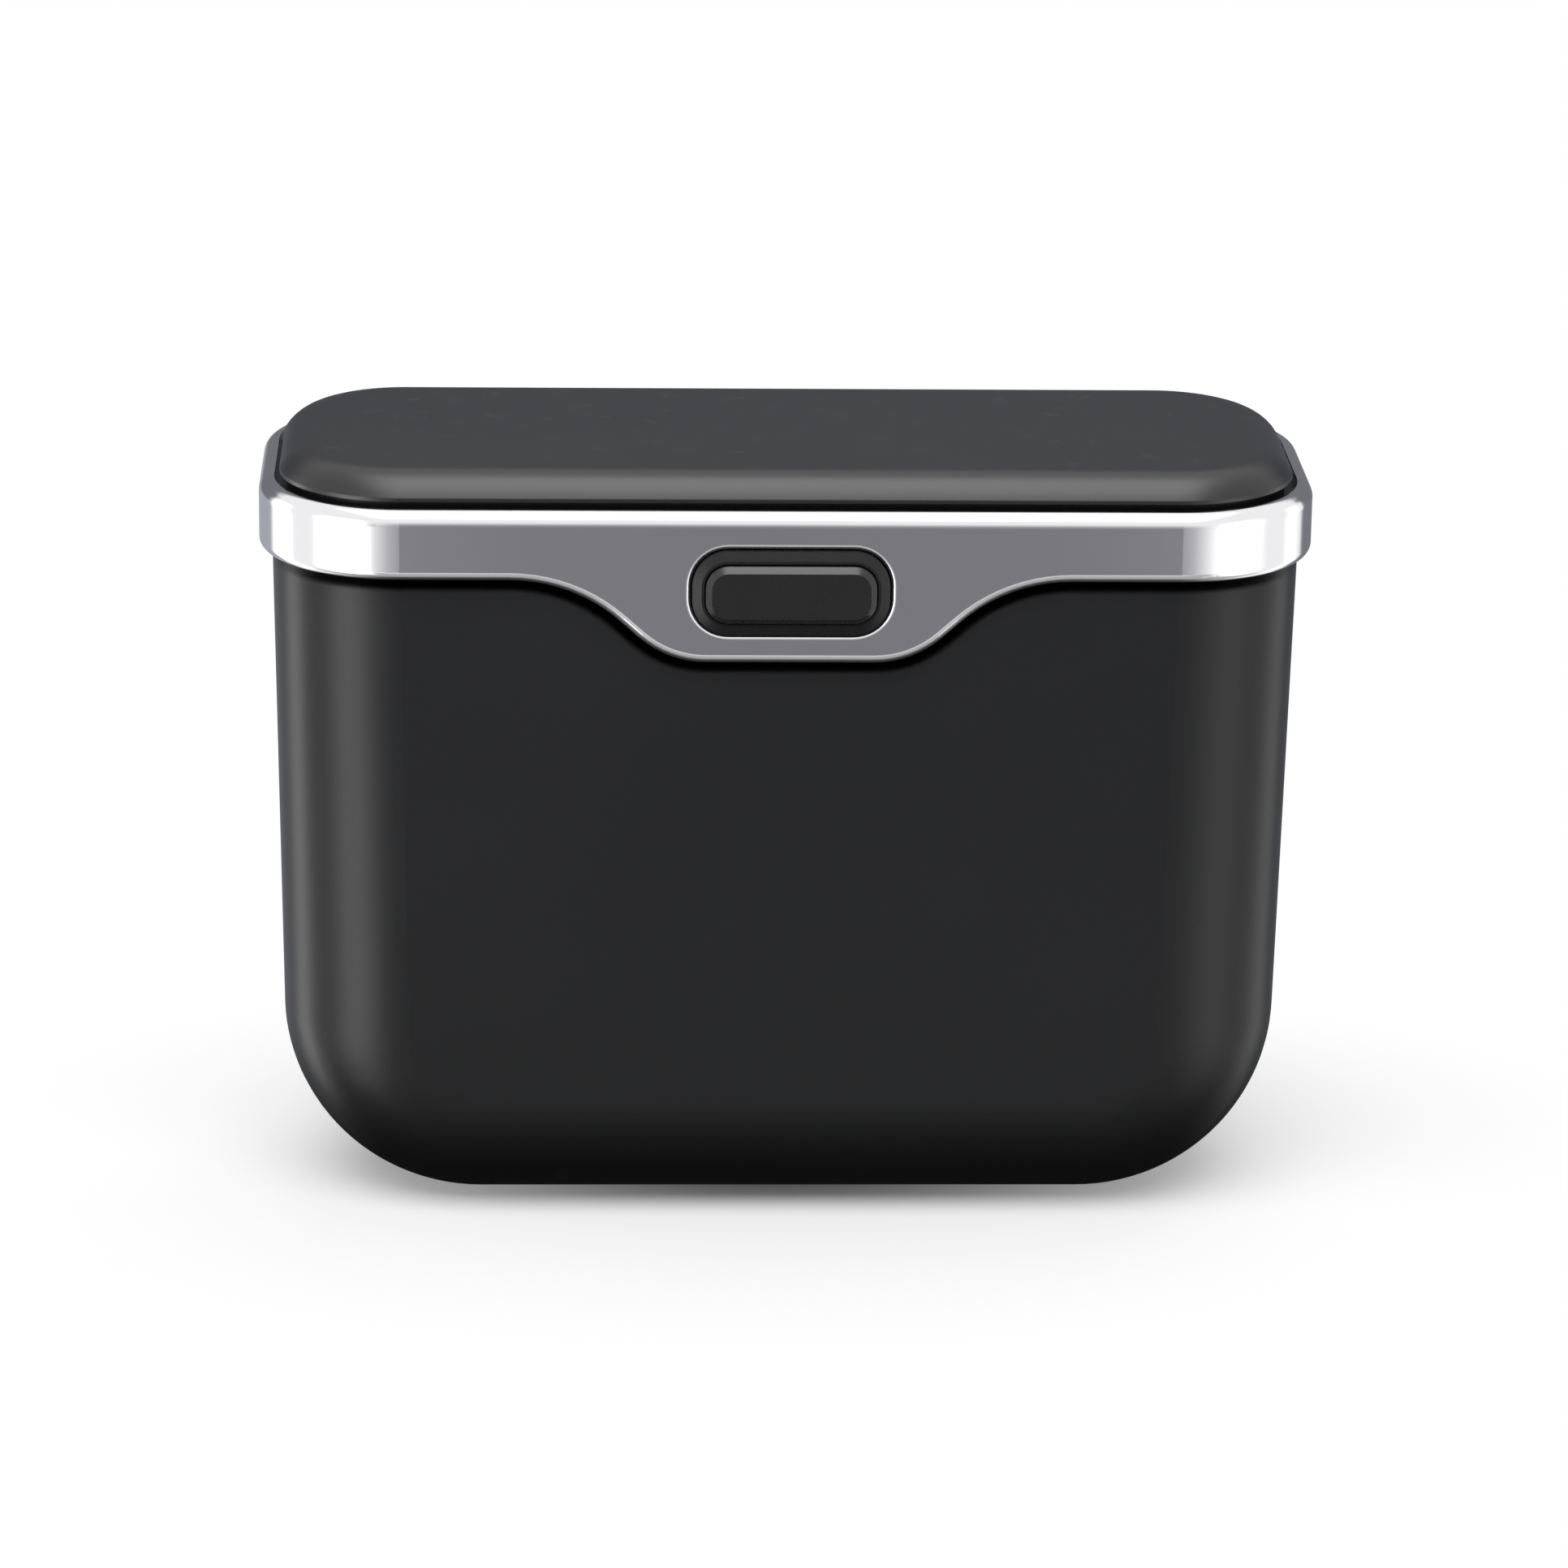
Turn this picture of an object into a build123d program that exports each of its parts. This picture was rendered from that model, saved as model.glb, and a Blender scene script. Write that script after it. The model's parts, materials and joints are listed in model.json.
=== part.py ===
from build123d import *
import os
from math import cos, pi, radians, sin, tan

# A small hanging bin: tapered tub, plated collar, pop-up lid and push button.
# Millimetres. X runs across, Y from front to back, Z up.
# The origin is the middle of the flat base and the button faces -Y.

# Overall form
bin_width = 163.0  # across the collar
bin_depth = 66.0  # over the collar, front to back
bin_height = 121.0  # base to the top of the lid
collar_corner = 22.0  # plan radius of the collar's corners

# Tub
tub_wall = 2.0
tub_floor = 2.2
side_draft = 0.93  # degrees, left and right walls
face_draft = 0.6  # degrees, front and back walls
side_radius = 31.0  # lower corners seen from the front
rim_round = 0.4
notch_round = 2.5  # corners of the opening behind the apron

# Collar
collar_wall = 1.7
collar_fit = 0.2  # between collar and tub
collar_height = 11.0
lip_width = 2.4  # from the collar's face in to the lid's opening
collar_roll = 2.3  # rounding of the top edge
lip_depth = 2.4  # from the collar's top edge down to the mouth frame
collar_edge = 1.6  # rounding of the lower edge
apron_drop = 12.9  # below the rest of the collar
apron_foot = 37.6  # between the slanted edges, along the bottom
apron_shoulder = 66.4  # between the slanted edges, at the top
foot_round = 15.5
shoulder_round = 25.0

# Mouth frame
flange_thickness = 1.5
spigot_depth = 8.0
frame_wall = 1.6
frame_fit = 0.2

# Lid
lid_rise = 4.8  # above the collar's top edge
lid_gap = 0.8  # between lid and collar
lid_seat_gap = 0.3  # between lid and mouth frame
dome_round = 7.0  # rounding from the lid's top towards its side
dome_angle = 30.0  # degrees, from level up to the rounding's face at the lid's side
lid_edge = 0.4  # rounding where the dome meets the side
lid_rim = 0.5  # side of the lid, below the dome
lid_undercut = 1.2  # from that side in to the skirt, which leaves a dark line above the collar
lid_wall = 1.8
lid_skin = 2.0
liner_thickness = 1.8
liner_fit = 0.2
lid_screw_spacing_x = 120.0
lid_screw_spacing_y = 26.0

# Hinge
pin_radius = 1.0
pin_play = 0.05
knuckle_wall = 1.2
knuckle_gap = 0.4  # between a hinge eye and the lid's back wall
turn_gap = 0.3  # between a turning eye and its neighbours
ear_width = 5.0
arm_width = 5.0
arm_spacing = 23.0  # between the middles of the two lid arms
block_height = 3.0
block_shoulder = 6.0  # hinge block beyond the outer face of each ear

# Lid spring
lid_wire = 0.35  # wire radius
coil_play = 0.25  # between coil and pin
leg_gap = 0.05  # between the long leg and the lid
lid_turns = 13.75  # leaves one leg under the lid and one pointing down
coil_end_gap = 0.6  # between coil and lid arms
long_leg = 12.0  # forward, under the lid
short_leg = 4.5  # down, into the hinge block

# Button and bezel
button_width = 26.0
button_height = 9.0
button_corner = 3.5
button_drop = 12.4  # from the collar's top edge down to the button's middle
button_proud = 2.4  # beyond the face of the collar
button_chamfer = 0.9
button_gap = 0.25  # between button and bezel
button_travel = 2.2
bezel_ring = 1.8
bezel_proud = 1.0
bezel_slope = 1.4  # width of the sloping face
bezel_slope_depth = 0.5
bezel_fit = 0.1
bezel_flange = 1.2  # width beyond the hole, and thickness
hole_round = 0.9  # edge of the hole in the apron
stop_gap = 0.1  # between button flange and bezel
button_flange = 1.2  # width beyond the button, and thickness

# Latch
slide_wall = 1.2
slide_fit = 0.3
catch_width = 8.0
catch_thickness = 2.0
catch_barb = 1.3
barb_height = 3.0
barb_gap = 0.4  # barb to tooth, both up and back
catch_swing = 1.9  # how far the catch's arc reaches forward
tooth_depth = 1.4
tooth_height = 1.8
tooth_offset = 1.8  # underside of the tooth above the button's middle
slide_bar = 2.0  # width of the bars beside the window
window_gap = 1.0  # beside the catch
housing_wall = 1.5
housing_back_gap = 0.4

# Button springs
spring_radius = 2.2  # to the middle of the wire
spring_wire = 0.3
spring_turns = 6
spring_edge = 0.7  # between a spring and the side of the slide
spring_drop = 2.2  # below the button's middle
spring_end_gap = 0.05

# Screws
screw_radius = 1.2
screw_head_radius = 2.2
screw_head_height = 1.3
boss_radius = 2.2
screw_clearance = 0.2
boss_depth = 4.5
lid_screw_bite = 2.2
housing_screw_bite = 2.8
hook_screw_bite = 2.0
pilot_spare = 0.3  # hole beyond the screw's tip
driver_length = 2.4
driver_width = 0.5
driver_depth = 0.6

# Hanging hook
hook_width = 26.0
hook_plate = 3.0
hook_slot = 7.0
hook_drop = 14.3  # from the tub's rim down to the hook's top
plate_length = 36.0
tongue_length = 40.0
hook_outer_round = 4.0
tongue_tip_round = 8.0
hook_screw_drop = 11.0  # from the hook's top down to the upper screw
hook_screw_spacing = 16.0

# Heights that follow from the sizes above
collar_z = bin_height - lid_rise
skirt_z = collar_z - collar_height
apron_z = skirt_z - apron_drop
frame_z = collar_z - lip_depth
rim_z = frame_z - flange_thickness
lid_z = frame_z + lid_seat_gap
liner_z = lid_z + liner_thickness
button_z = collar_z - button_drop
hook_top_z = rim_z - hook_drop
hook_foot_z = hook_top_z - plate_length
tongue_z = hook_top_z - tongue_length

# Plan sizes that follow
collar_offset = collar_wall + collar_fit
tub_width = bin_width - 2 * collar_offset
tub_depth = bin_depth - 2 * collar_offset
tub_corner = collar_corner - collar_offset
spigot_inset = tub_wall + frame_fit + spigot_depth * tan(radians(side_draft))
mouth_inset = spigot_inset + frame_wall
mouth_y = tub_depth / 2 - mouth_inset
lid_inset = lip_width + lid_gap
lid_width = bin_width - 2 * lid_inset
lid_depth = bin_depth - 2 * lid_inset
lid_corner = collar_corner - lid_inset
dome_overhang = dome_round * (1 - cos(radians(dome_angle)))
dome_edge_z = bin_height - dome_round * (1 - sin(radians(dome_angle)))
skirt_inset = lid_undercut + lid_wall
liner_inset = skirt_inset + liner_fit
front_y = -bin_depth / 2
collar_back_y = front_y + collar_wall

# Hinge line: the spring's long leg runs just under the lid
coil_radius = pin_radius + coil_play + lid_wire
eye_radius = pin_radius + knuckle_wall
hinge_y = lid_depth / 2 + knuckle_gap + eye_radius
hinge_z = lid_z - leg_gap - lid_wire + coil_radius
block_top_z = hinge_z - eye_radius - turn_gap
block_z = block_top_z - block_height
ear_spacing = arm_spacing + arm_width + ear_width + 2 * turn_gap
pin_length = ear_spacing + ear_width
block_width = pin_length + 2 * block_shoulder
coil_length = arm_spacing - arm_width - 2 * (coil_end_gap + lid_wire)
coil_end_x = coil_length / 2
coil_climb = coil_length / lid_turns / (2 * pi * coil_radius)
long_leg_plane = Plane((-coil_end_x, hinge_y, hinge_z - coil_radius), z_dir=(-coil_climb, -1, 0))
short_leg_plane = Plane((coil_end_x, hinge_y - coil_radius, hinge_z), z_dir=(coil_climb, 0, -1))

# Latch line, from the back of the collar's face to the back of the housing
bezel_back_y = collar_back_y + bezel_flange
flange_front_y = bezel_back_y + stop_gap
slide_front_y = flange_front_y + button_flange
slide_back_y = slide_front_y + slide_wall
catch_arc_y = slide_back_y + button_travel + slide_fit
catch_front_y = catch_arc_y + catch_swing
catch_back_y = catch_front_y + catch_thickness
barb_y = catch_back_y + catch_barb
tooth_y = barb_y + barb_gap
tooth_back_y = tooth_y + tooth_depth
housing_inner_y = tooth_back_y + button_travel + housing_back_gap
housing_back_y = housing_inner_y + housing_wall
tooth_z = button_z + tooth_offset
barb_top_z = tooth_z - barb_gap
barb_foot_z = barb_top_z - barb_height
opening_width = button_width + 2 * button_gap
opening_height = button_height + 2 * button_gap
bezel_width = opening_width + 2 * bezel_ring
bezel_height = opening_height + 2 * bezel_ring
opening_corner = button_corner + button_gap
bezel_corner = opening_corner + bezel_ring
slide_width = button_width + 2 * button_flange
slide_height = button_height + 2 * button_flange
spring_spacing = slide_width - 2 * (spring_radius + spring_wire + spring_edge)
window_width = catch_width + 2 * window_gap
cavity_width = slide_width + 2 * slide_fit
cavity_height = slide_height + 2 * slide_fit
housing_width = cavity_width + 2 * housing_wall
housing_height = cavity_height + 2 * housing_wall
boss_spacing = max(housing_width, bezel_width + 2 * bezel_flange) + 2 * (boss_radius + slide_fit)
boss_end_y = collar_back_y + boss_depth
notch_width = boss_spacing + 2 * (boss_radius + frame_fit)
notch_z = button_z - bezel_height / 2 - bezel_flange - frame_fit

# Hook line, behind the tub
upper_screw_z = hook_top_z - hook_screw_drop
hook_screws_z = [upper_screw_z - hook_screw_spacing, upper_screw_z]


def wall_y(z):
    """Outer face of the tub's back wall at height z."""
    return tub_depth / 2 - (rim_z - z) * tan(radians(face_draft))


plate_y = wall_y(hook_top_z) + hook_plate
tongue_y = plate_y + hook_slot
tongue_back_y = tongue_y + hook_plate


def tub_form(inset, floor_z):
    """Tapered form of the tub up to its rim, moved in from the outer face by inset."""

    def trapezoid(mouth, draft):
        foot = mouth / 2 - inset - (rim_z - floor_z) * tan(radians(draft))
        head = mouth / 2 - inset
        return [(-foot, floor_z), (foot, floor_z), (head, rim_z), (-head, rim_z)]

    with BuildPart() as form:
        with BuildSketch(Plane.XZ) as front:
            with BuildLine():
                Polyline(*trapezoid(tub_width, side_draft), close=True)
            make_face()
            fillet(front.vertices().group_by(Axis.Y)[0], side_radius - inset)
        extrude(amount=bin_depth, both=True)
        with BuildSketch(Plane.YZ):
            with BuildLine():
                Polyline(*trapezoid(tub_depth, face_draft), close=True)
            make_face()
        extrude(amount=bin_width, both=True, mode=Mode.INTERSECT)
        faces = form.faces().sort_by(Axis.Y)
        outline = faces[0].edges().sort_by(Axis.Z)[:-1] + faces[-1].edges().sort_by(Axis.Z)[:-1]
        fillet(outline, tub_corner - inset)
    return form.part


def domed_block(inset, top_z):
    """Form of the lid, moved in from the outer face by inset, with a domed upper edge."""
    spread = dome_overhang - inset
    with BuildPart() as block:
        with BuildSketch(Plane.XY.offset(top_z - 2 * dome_round)):
            RectangleRounded(lid_width + 2 * spread, lid_depth + 2 * spread, lid_corner + spread)
        extrude(amount=2 * dome_round)
        fillet(block.faces().sort_by(Axis.Z)[-1].edges(), dome_round - inset)
        with BuildSketch(Plane.XY.offset(lid_z)):
            RectangleRounded(lid_width - 2 * inset, lid_depth - 2 * inset, lid_corner - inset)
        extrude(amount=top_z - lid_z, mode=Mode.INTERSECT)
    return block.part


def coil(mean_radius, wire_radius, length, turns):
    """Round-wire coil that starts on +X and climbs along Z."""
    with BuildPart() as spring:
        with BuildLine() as path:
            Helix(length / turns, length, mean_radius)
        with BuildSketch(Plane(path.line @ 0, z_dir=path.line % 0)):
            Circle(wire_radius)
        sweep(path=path.line, is_frenet=True)
    return spring.part


def screw(head_plane, bite):
    """Pan-head screw; the plane lies under the head and faces the driver."""
    with BuildPart() as fastener:
        with BuildSketch(head_plane):
            Circle(screw_head_radius)
        extrude(amount=screw_head_height)
        with BuildSketch(head_plane):
            Circle(screw_radius)
        extrude(amount=-bite)
        with BuildSketch(head_plane.offset(screw_head_height)):
            Rectangle(driver_length, driver_width)
            Rectangle(driver_width, driver_length)
        extrude(amount=-driver_depth, mode=Mode.SUBTRACT)
    return fastener.part


os.makedirs("parts", exist_ok=True)

# Tub
tub_outer = tub_form(0, 0)
tub_inner = tub_form(tub_wall, tub_floor)
with BuildPart() as tub:
    add(tub_outer)
    add(tub_inner, mode=Mode.SUBTRACT)
    fillet(tub.faces().sort_by(Axis.Z)[-1].edges(), rim_round)
    # opening behind the apron for the latch
    with BuildSketch(Plane.XZ) as notch:
        with Locations((0, notch_z)):
            Rectangle(notch_width, rim_z - notch_z, align=(Align.CENTER, Align.MIN))
        fillet(notch.vertices().group_by(Axis.Y)[0], notch_round)
    extrude(amount=bin_depth / 2, mode=Mode.SUBTRACT)
    # seat of the hinge block
    with BuildSketch(Plane.XZ):
        with Locations((0, block_z)):
            Rectangle(block_width + 2 * frame_fit, rim_z - block_z, align=(Align.CENTER, Align.MIN))
    extrude(amount=-bin_depth / 2, mode=Mode.SUBTRACT)
    with BuildSketch(Plane.XZ):
        for z in hook_screws_z:
            with Locations((0, z)):
                Circle(screw_radius + screw_clearance)
    extrude(amount=-bin_depth / 2, mode=Mode.SUBTRACT)
tub.part.label = "tub"
export_step(tub.part, "parts/tub.step")

# Trim collar
with BuildPart() as trim_collar:
    with BuildSketch(Plane.XY.offset(apron_z)):
        RectangleRounded(bin_width, bin_depth, collar_corner)
    extrude(amount=collar_z - apron_z)
    # lower outline seen from the front
    with BuildSketch(Plane.XZ) as outline:
        with BuildLine():
            Polyline(
                (-bin_width / 2, collar_z),
                (-bin_width / 2, skirt_z),
                (-apron_shoulder / 2, skirt_z),
                (-apron_foot / 2, apron_z),
                (apron_foot / 2, apron_z),
                (apron_shoulder / 2, skirt_z),
                (bin_width / 2, skirt_z),
                (bin_width / 2, collar_z),
                close=True,
            )
        make_face()
        fillet(outline.vertices().group_by(Axis.Y)[0], foot_round)
        shoulders = outline.vertices().sort_by(Axis.X).filter_by_position(
            Axis.X, -apron_shoulder / 2 - collar_edge, apron_shoulder / 2 + collar_edge
        )
        fillet(shoulders.group_by(Axis.Y)[-1], shoulder_round)
    extrude(amount=bin_depth, both=True, mode=Mode.INTERSECT)
    # the sides and the back end level
    with BuildSketch(Plane.XY.offset(apron_z)):
        Rectangle(bin_width, bin_depth, align=(Align.CENTER, Align.MIN))
    extrude(amount=skirt_z - apron_z, mode=Mode.SUBTRACT)
    face_edges = trim_collar.faces().sort_by(Axis.Y)[0].edges()
    fillet(face_edges.filter_by_position(Axis.Z, apron_z, skirt_z), collar_edge)
    fillet(trim_collar.faces().sort_by(Axis.Z)[-1].edges(), collar_roll)
    # hollow for the tub and the mouth frame, then the lid's opening
    with BuildSketch(Plane.XY.offset(apron_z)):
        RectangleRounded(
            bin_width - 2 * collar_wall, bin_depth - 2 * collar_wall, collar_corner - collar_wall
        )
    extrude(amount=frame_z - apron_z, mode=Mode.SUBTRACT)
    with BuildSketch(Plane.XY.offset(frame_z)):
        RectangleRounded(bin_width - 2 * lip_width, bin_depth - 2 * lip_width, collar_corner - lip_width)
    extrude(amount=lip_depth, mode=Mode.SUBTRACT)
    # gap at the back for the hinge block
    with BuildSketch(Plane.XZ):
        with Locations((0, block_z)):
            Rectangle(block_width + 2 * frame_fit, collar_z - block_z, align=(Align.CENTER, Align.MIN))
    extrude(amount=-bin_depth / 2, mode=Mode.SUBTRACT)
    # hole for the bezel, rounded at the front
    with BuildSketch(Plane.XZ.offset(-front_y)):
        with Locations((0, button_z)):
            RectangleRounded(
                bezel_width + 2 * bezel_fit, bezel_height + 2 * bezel_fit, bezel_corner + bezel_fit
            )
    extrude(amount=-collar_wall, mode=Mode.SUBTRACT)
    face_edges = trim_collar.faces().sort_by(Axis.Y)[0].inner_wires()[0].edges()
    fillet(face_edges, hole_round)
    # bosses for the latch housing
    with BuildSketch(Plane.XZ.offset(-collar_back_y)):
        with Locations((0, button_z)), GridLocations(boss_spacing, 0, 2, 1):
            Circle(boss_radius)
    extrude(amount=-boss_depth)
    with BuildSketch(Plane.XZ.offset(-boss_end_y)):
        with Locations((0, button_z)), GridLocations(boss_spacing, 0, 2, 1):
            Circle(screw_radius)
    extrude(amount=housing_screw_bite + pilot_spare, mode=Mode.SUBTRACT)
trim_collar.part.label = "trim_collar"
export_step(trim_collar.part, "parts/trim_collar.step")

# Mouth frame: flange on the rim, spigot inside the tub, hinge block and ears
with BuildPart() as mouth_frame:
    with BuildSketch(Plane.XY.offset(rim_z)):
        RectangleRounded(tub_width, tub_depth, tub_corner)
    extrude(amount=flange_thickness)
    with BuildSketch(Plane.XY.offset(rim_z - spigot_depth)):
        RectangleRounded(
            tub_width - 2 * spigot_inset, tub_depth - 2 * spigot_inset, tub_corner - spigot_inset
        )
    extrude(amount=spigot_depth)
    # room for the latch housing in front
    with BuildSketch(Plane.XY.offset(rim_z - spigot_depth)):
        Rectangle(notch_width, bin_depth, align=(Align.CENTER, Align.MAX))
    extrude(amount=spigot_depth, mode=Mode.SUBTRACT)
    # hinge block, level with the ears behind
    with BuildSketch(Plane.XY.offset(rim_z)):
        with Locations((0, mouth_y)):
            Rectangle(pin_length + 2 * turn_gap, bin_depth, align=(Align.CENTER, Align.MIN))
    extrude(amount=flange_thickness, mode=Mode.SUBTRACT)
    with BuildSketch(Plane.XY.offset(block_z)):
        with Locations((0, mouth_y)):
            Rectangle(block_width, hinge_y + eye_radius - mouth_y, align=(Align.CENTER, Align.MIN))
    extrude(amount=block_height)
    # the mouth
    with BuildSketch(Plane.XY.offset(rim_z - spigot_depth)):
        RectangleRounded(tub_width - 2 * mouth_inset, tub_depth - 2 * mouth_inset, tub_corner - mouth_inset)
    extrude(amount=spigot_depth + flange_thickness, mode=Mode.SUBTRACT)
    for side in (-1, 1):
        with BuildSketch(Plane.YZ.offset(side * ear_spacing / 2)):
            with Locations((hinge_y, hinge_z)):
                Circle(eye_radius)
            with Locations((hinge_y, block_top_z)):
                Rectangle(2 * eye_radius, hinge_z - block_top_z, align=(Align.CENTER, Align.MIN))
            with Locations((hinge_y, hinge_z)):
                Circle(pin_radius, mode=Mode.SUBTRACT)
        extrude(amount=ear_width / 2, both=True)
    # hole for the spring's short leg
    with BuildSketch(short_leg_plane):
        Circle(lid_wire + pin_play)
    extrude(amount=short_leg + pilot_spare, mode=Mode.SUBTRACT)
mouth_frame.part.label = "mouth_frame"
export_step(mouth_frame.part, "parts/mouth_frame.step")

# Lid cover
arms_x = [-arm_spacing / 2, arm_spacing / 2]
lid_outer = domed_block(0, bin_height)
lid_inner = domed_block(skirt_inset, bin_height - lid_skin)
with BuildPart() as lid_cover:
    add(lid_outer)
    dome_edges = lid_cover.edges().filter_by(Plane.XY)
    fillet(dome_edges.filter_by_position(Axis.Z, dome_edge_z - lid_edge, dome_edge_z + lid_edge), lid_edge)
    with BuildSketch(Plane.XY.offset(lid_z)):
        RectangleRounded(lid_width, lid_depth, lid_corner)
        RectangleRounded(
            lid_width - 2 * lid_undercut,
            lid_depth - 2 * lid_undercut,
            lid_corner - lid_undercut,
            mode=Mode.SUBTRACT,
        )
    extrude(amount=dome_edge_z - lid_rim - lid_z, mode=Mode.SUBTRACT)
    add(lid_inner, mode=Mode.SUBTRACT)
    with BuildSketch(Plane.XY.offset(liner_z)):
        with GridLocations(lid_screw_spacing_x, lid_screw_spacing_y, 2, 2):
            Circle(boss_radius)
    extrude(amount=bin_height - lid_skin - liner_z)
    with BuildSketch(Plane.XY.offset(liner_z)):
        with GridLocations(lid_screw_spacing_x, lid_screw_spacing_y, 2, 2):
            Circle(screw_radius)
    extrude(amount=lid_screw_bite + pilot_spare, mode=Mode.SUBTRACT)
    # slots in the back wall for the hinge arms
    with BuildSketch(Plane.XZ):
        with Locations((0, lid_z)), GridLocations(arm_spacing, 0, 2, 1):
            Rectangle(
                arm_width + 2 * liner_fit, liner_thickness + liner_fit, align=(Align.CENTER, Align.MIN)
            )
    extrude(amount=-bin_depth / 2, mode=Mode.SUBTRACT)
lid_cover.part.label = "lid_cover"
export_step(lid_cover.part, "parts/lid_cover.step")

# Lid liner, with the catch in front and the hinge arms behind
with BuildPart() as lid_liner:
    with BuildSketch(Plane.XY.offset(lid_z)):
        RectangleRounded(
            lid_width - 2 * liner_inset, lid_depth - 2 * liner_inset, lid_corner - liner_inset
        )
        with Locations((0, 0)), GridLocations(arm_spacing, 0, 2, 1):
            Rectangle(arm_width, hinge_y, align=(Align.CENTER, Align.MIN))
        with GridLocations(lid_screw_spacing_x, lid_screw_spacing_y, 2, 2):
            Circle(screw_radius + screw_clearance, mode=Mode.SUBTRACT)
    extrude(amount=liner_thickness)
    with BuildSketch(Plane.YZ):
        with BuildLine():
            Polyline(
                (catch_front_y, liner_z),
                (catch_front_y, barb_foot_z),
                (catch_back_y, barb_foot_z),
                (barb_y, barb_top_z - catch_barb),
                (barb_y, barb_top_z),
                (catch_back_y, barb_top_z),
                (catch_back_y, liner_z),
                close=True,
            )
        make_face()
    extrude(amount=catch_width / 2, both=True)
    for x in arms_x:
        with BuildSketch(Plane.YZ.offset(x)):
            with Locations((hinge_y, hinge_z)):
                Circle(eye_radius)
        extrude(amount=arm_width / 2, both=True)
    with BuildSketch(Plane.YZ):
        with Locations((hinge_y, hinge_z)):
            Circle(pin_radius + pin_play)
    extrude(amount=pin_length / 2, both=True, mode=Mode.SUBTRACT)
lid_liner.part.label = "lid_liner"
export_step(lid_liner.part, "parts/lid_liner.step")

# Lid screws, driven from below
with BuildPart() as lid_screws:
    for x in (-lid_screw_spacing_x / 2, lid_screw_spacing_x / 2):
        for y in (-lid_screw_spacing_y / 2, lid_screw_spacing_y / 2):
            under_head = Plane((x, y, lid_z), z_dir=(0, 0, -1))
            add(screw(under_head, liner_thickness + lid_screw_bite))
lid_screws.part.label = "lid_screws"
export_step(lid_screws.part, "parts/lid_screws.step")

# Hinge pin
with BuildPart() as hinge_pin:
    with BuildSketch(Plane.YZ):
        with Locations((hinge_y, hinge_z)):
            Circle(pin_radius)
    extrude(amount=pin_length / 2, both=True)
hinge_pin.part.label = "hinge_pin"
export_step(hinge_pin.part, "parts/hinge_pin.step")

# Lid spring: coil on the pin, long leg under the lid, short leg in the block
coil_plane = Plane((-coil_end_x, hinge_y, hinge_z), x_dir=(0, 0, -1), z_dir=(1, 0, 0))
lid_coil = coil_plane * coil(coil_radius, lid_wire, coil_length, lid_turns)
with BuildPart() as lid_spring:
    add(lid_coil)
    with BuildSketch(long_leg_plane):
        Circle(lid_wire)
    extrude(amount=long_leg)
    with BuildSketch(short_leg_plane):
        Circle(lid_wire)
    extrude(amount=short_leg)
lid_spring.part.label = "lid_spring"
export_step(lid_spring.part, "parts/lid_spring.step")

# Button bezel
with BuildPart() as button_bezel:
    with BuildSketch(Plane.XZ.offset(-collar_back_y)):
        with Locations((0, button_z)):
            RectangleRounded(bezel_width, bezel_height, bezel_corner)
    extrude(amount=collar_wall + bezel_proud)
    front = button_bezel.faces().sort_by(Axis.Y)[0]
    chamfer(front.edges(), length=bezel_slope, length2=bezel_slope_depth, reference=front)
    with BuildSketch(Plane.XZ.offset(-collar_back_y)):
        with Locations((0, button_z)):
            RectangleRounded(
                bezel_width + 2 * bezel_flange, bezel_height + 2 * bezel_flange, bezel_corner + bezel_flange
            )
    extrude(amount=-bezel_flange)
    with BuildSketch(Plane.XZ.offset(-bezel_back_y)):
        with Locations((0, button_z)):
            RectangleRounded(opening_width, opening_height, opening_corner)
    extrude(amount=bezel_flange + collar_wall + bezel_proud, mode=Mode.SUBTRACT)
button_bezel.part.label = "button_bezel"
export_step(button_bezel.part, "parts/button_bezel.step")

# Button cap
with BuildPart() as button_cap:
    with BuildSketch(Plane.XZ.offset(-flange_front_y)):
        with Locations((0, button_z)):
            RectangleRounded(button_width, button_height, button_corner)
    extrude(amount=flange_front_y - front_y + button_proud)
    chamfer(button_cap.faces().sort_by(Axis.Y)[0].edges(), button_chamfer)
    with BuildSketch(Plane.XZ.offset(-flange_front_y)):
        with Locations((0, button_z)):
            RectangleRounded(slide_width, slide_height, button_corner + button_flange)
    extrude(amount=-button_flange)
button_cap.part.label = "button_cap"
export_step(button_cap.part, "parts/button_cap.step")

# Latch slide: push plate behind the button and a window whose far bar is the tooth
with BuildPart() as latch_slide:
    with BuildSketch(Plane.XZ.offset(-slide_front_y)):
        with Locations((0, button_z)):
            Rectangle(slide_width, slide_height)
    extrude(amount=-slide_wall)
    with BuildSketch(Plane.XY.offset(tooth_z)):
        with Locations((0, slide_front_y)):
            Rectangle(
                window_width + 2 * slide_bar, tooth_back_y - slide_front_y, align=(Align.CENTER, Align.MIN)
            )
        with Locations((0, slide_back_y)):
            Rectangle(
                window_width, tooth_y - slide_back_y, align=(Align.CENTER, Align.MIN), mode=Mode.SUBTRACT
            )
    extrude(amount=tooth_height)
latch_slide.part.label = "latch_slide"
export_step(latch_slide.part, "parts/latch_slide.step")

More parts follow.
